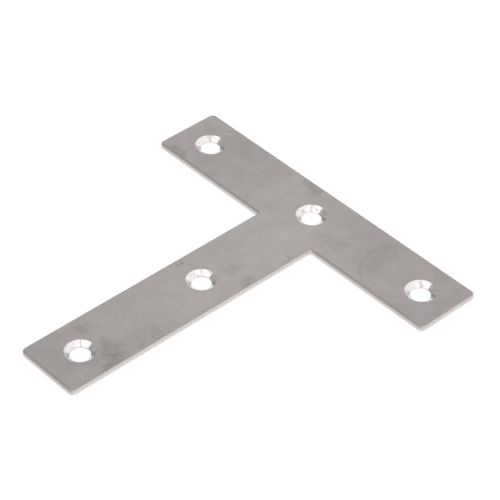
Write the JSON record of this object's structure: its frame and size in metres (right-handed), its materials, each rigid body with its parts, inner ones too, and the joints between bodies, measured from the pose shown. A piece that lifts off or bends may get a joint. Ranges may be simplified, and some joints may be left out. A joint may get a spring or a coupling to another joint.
{
  "type": "t-shaped joining plate",
  "caption": "Flat T-shaped joining plate of stainless sheet with countersunk screw holes along the crossbar and down the stem.",
  "frame": {"origin": "on the axis of the hole where crossbar and stem meet, at the plate's underside", "axes": "+X along the crossbar, -Y down the stem, +Z out of the countersunk side"},
  "size_m": [0.1, 0.1, 0.0015],
  "materials": {
    "stainless_sheet": "tumbled, satin, lightly water-stained"
  },
  "bodies": {
    "root": {"joining_plate": "stainless_sheet"}
  },
  "joints": []
}
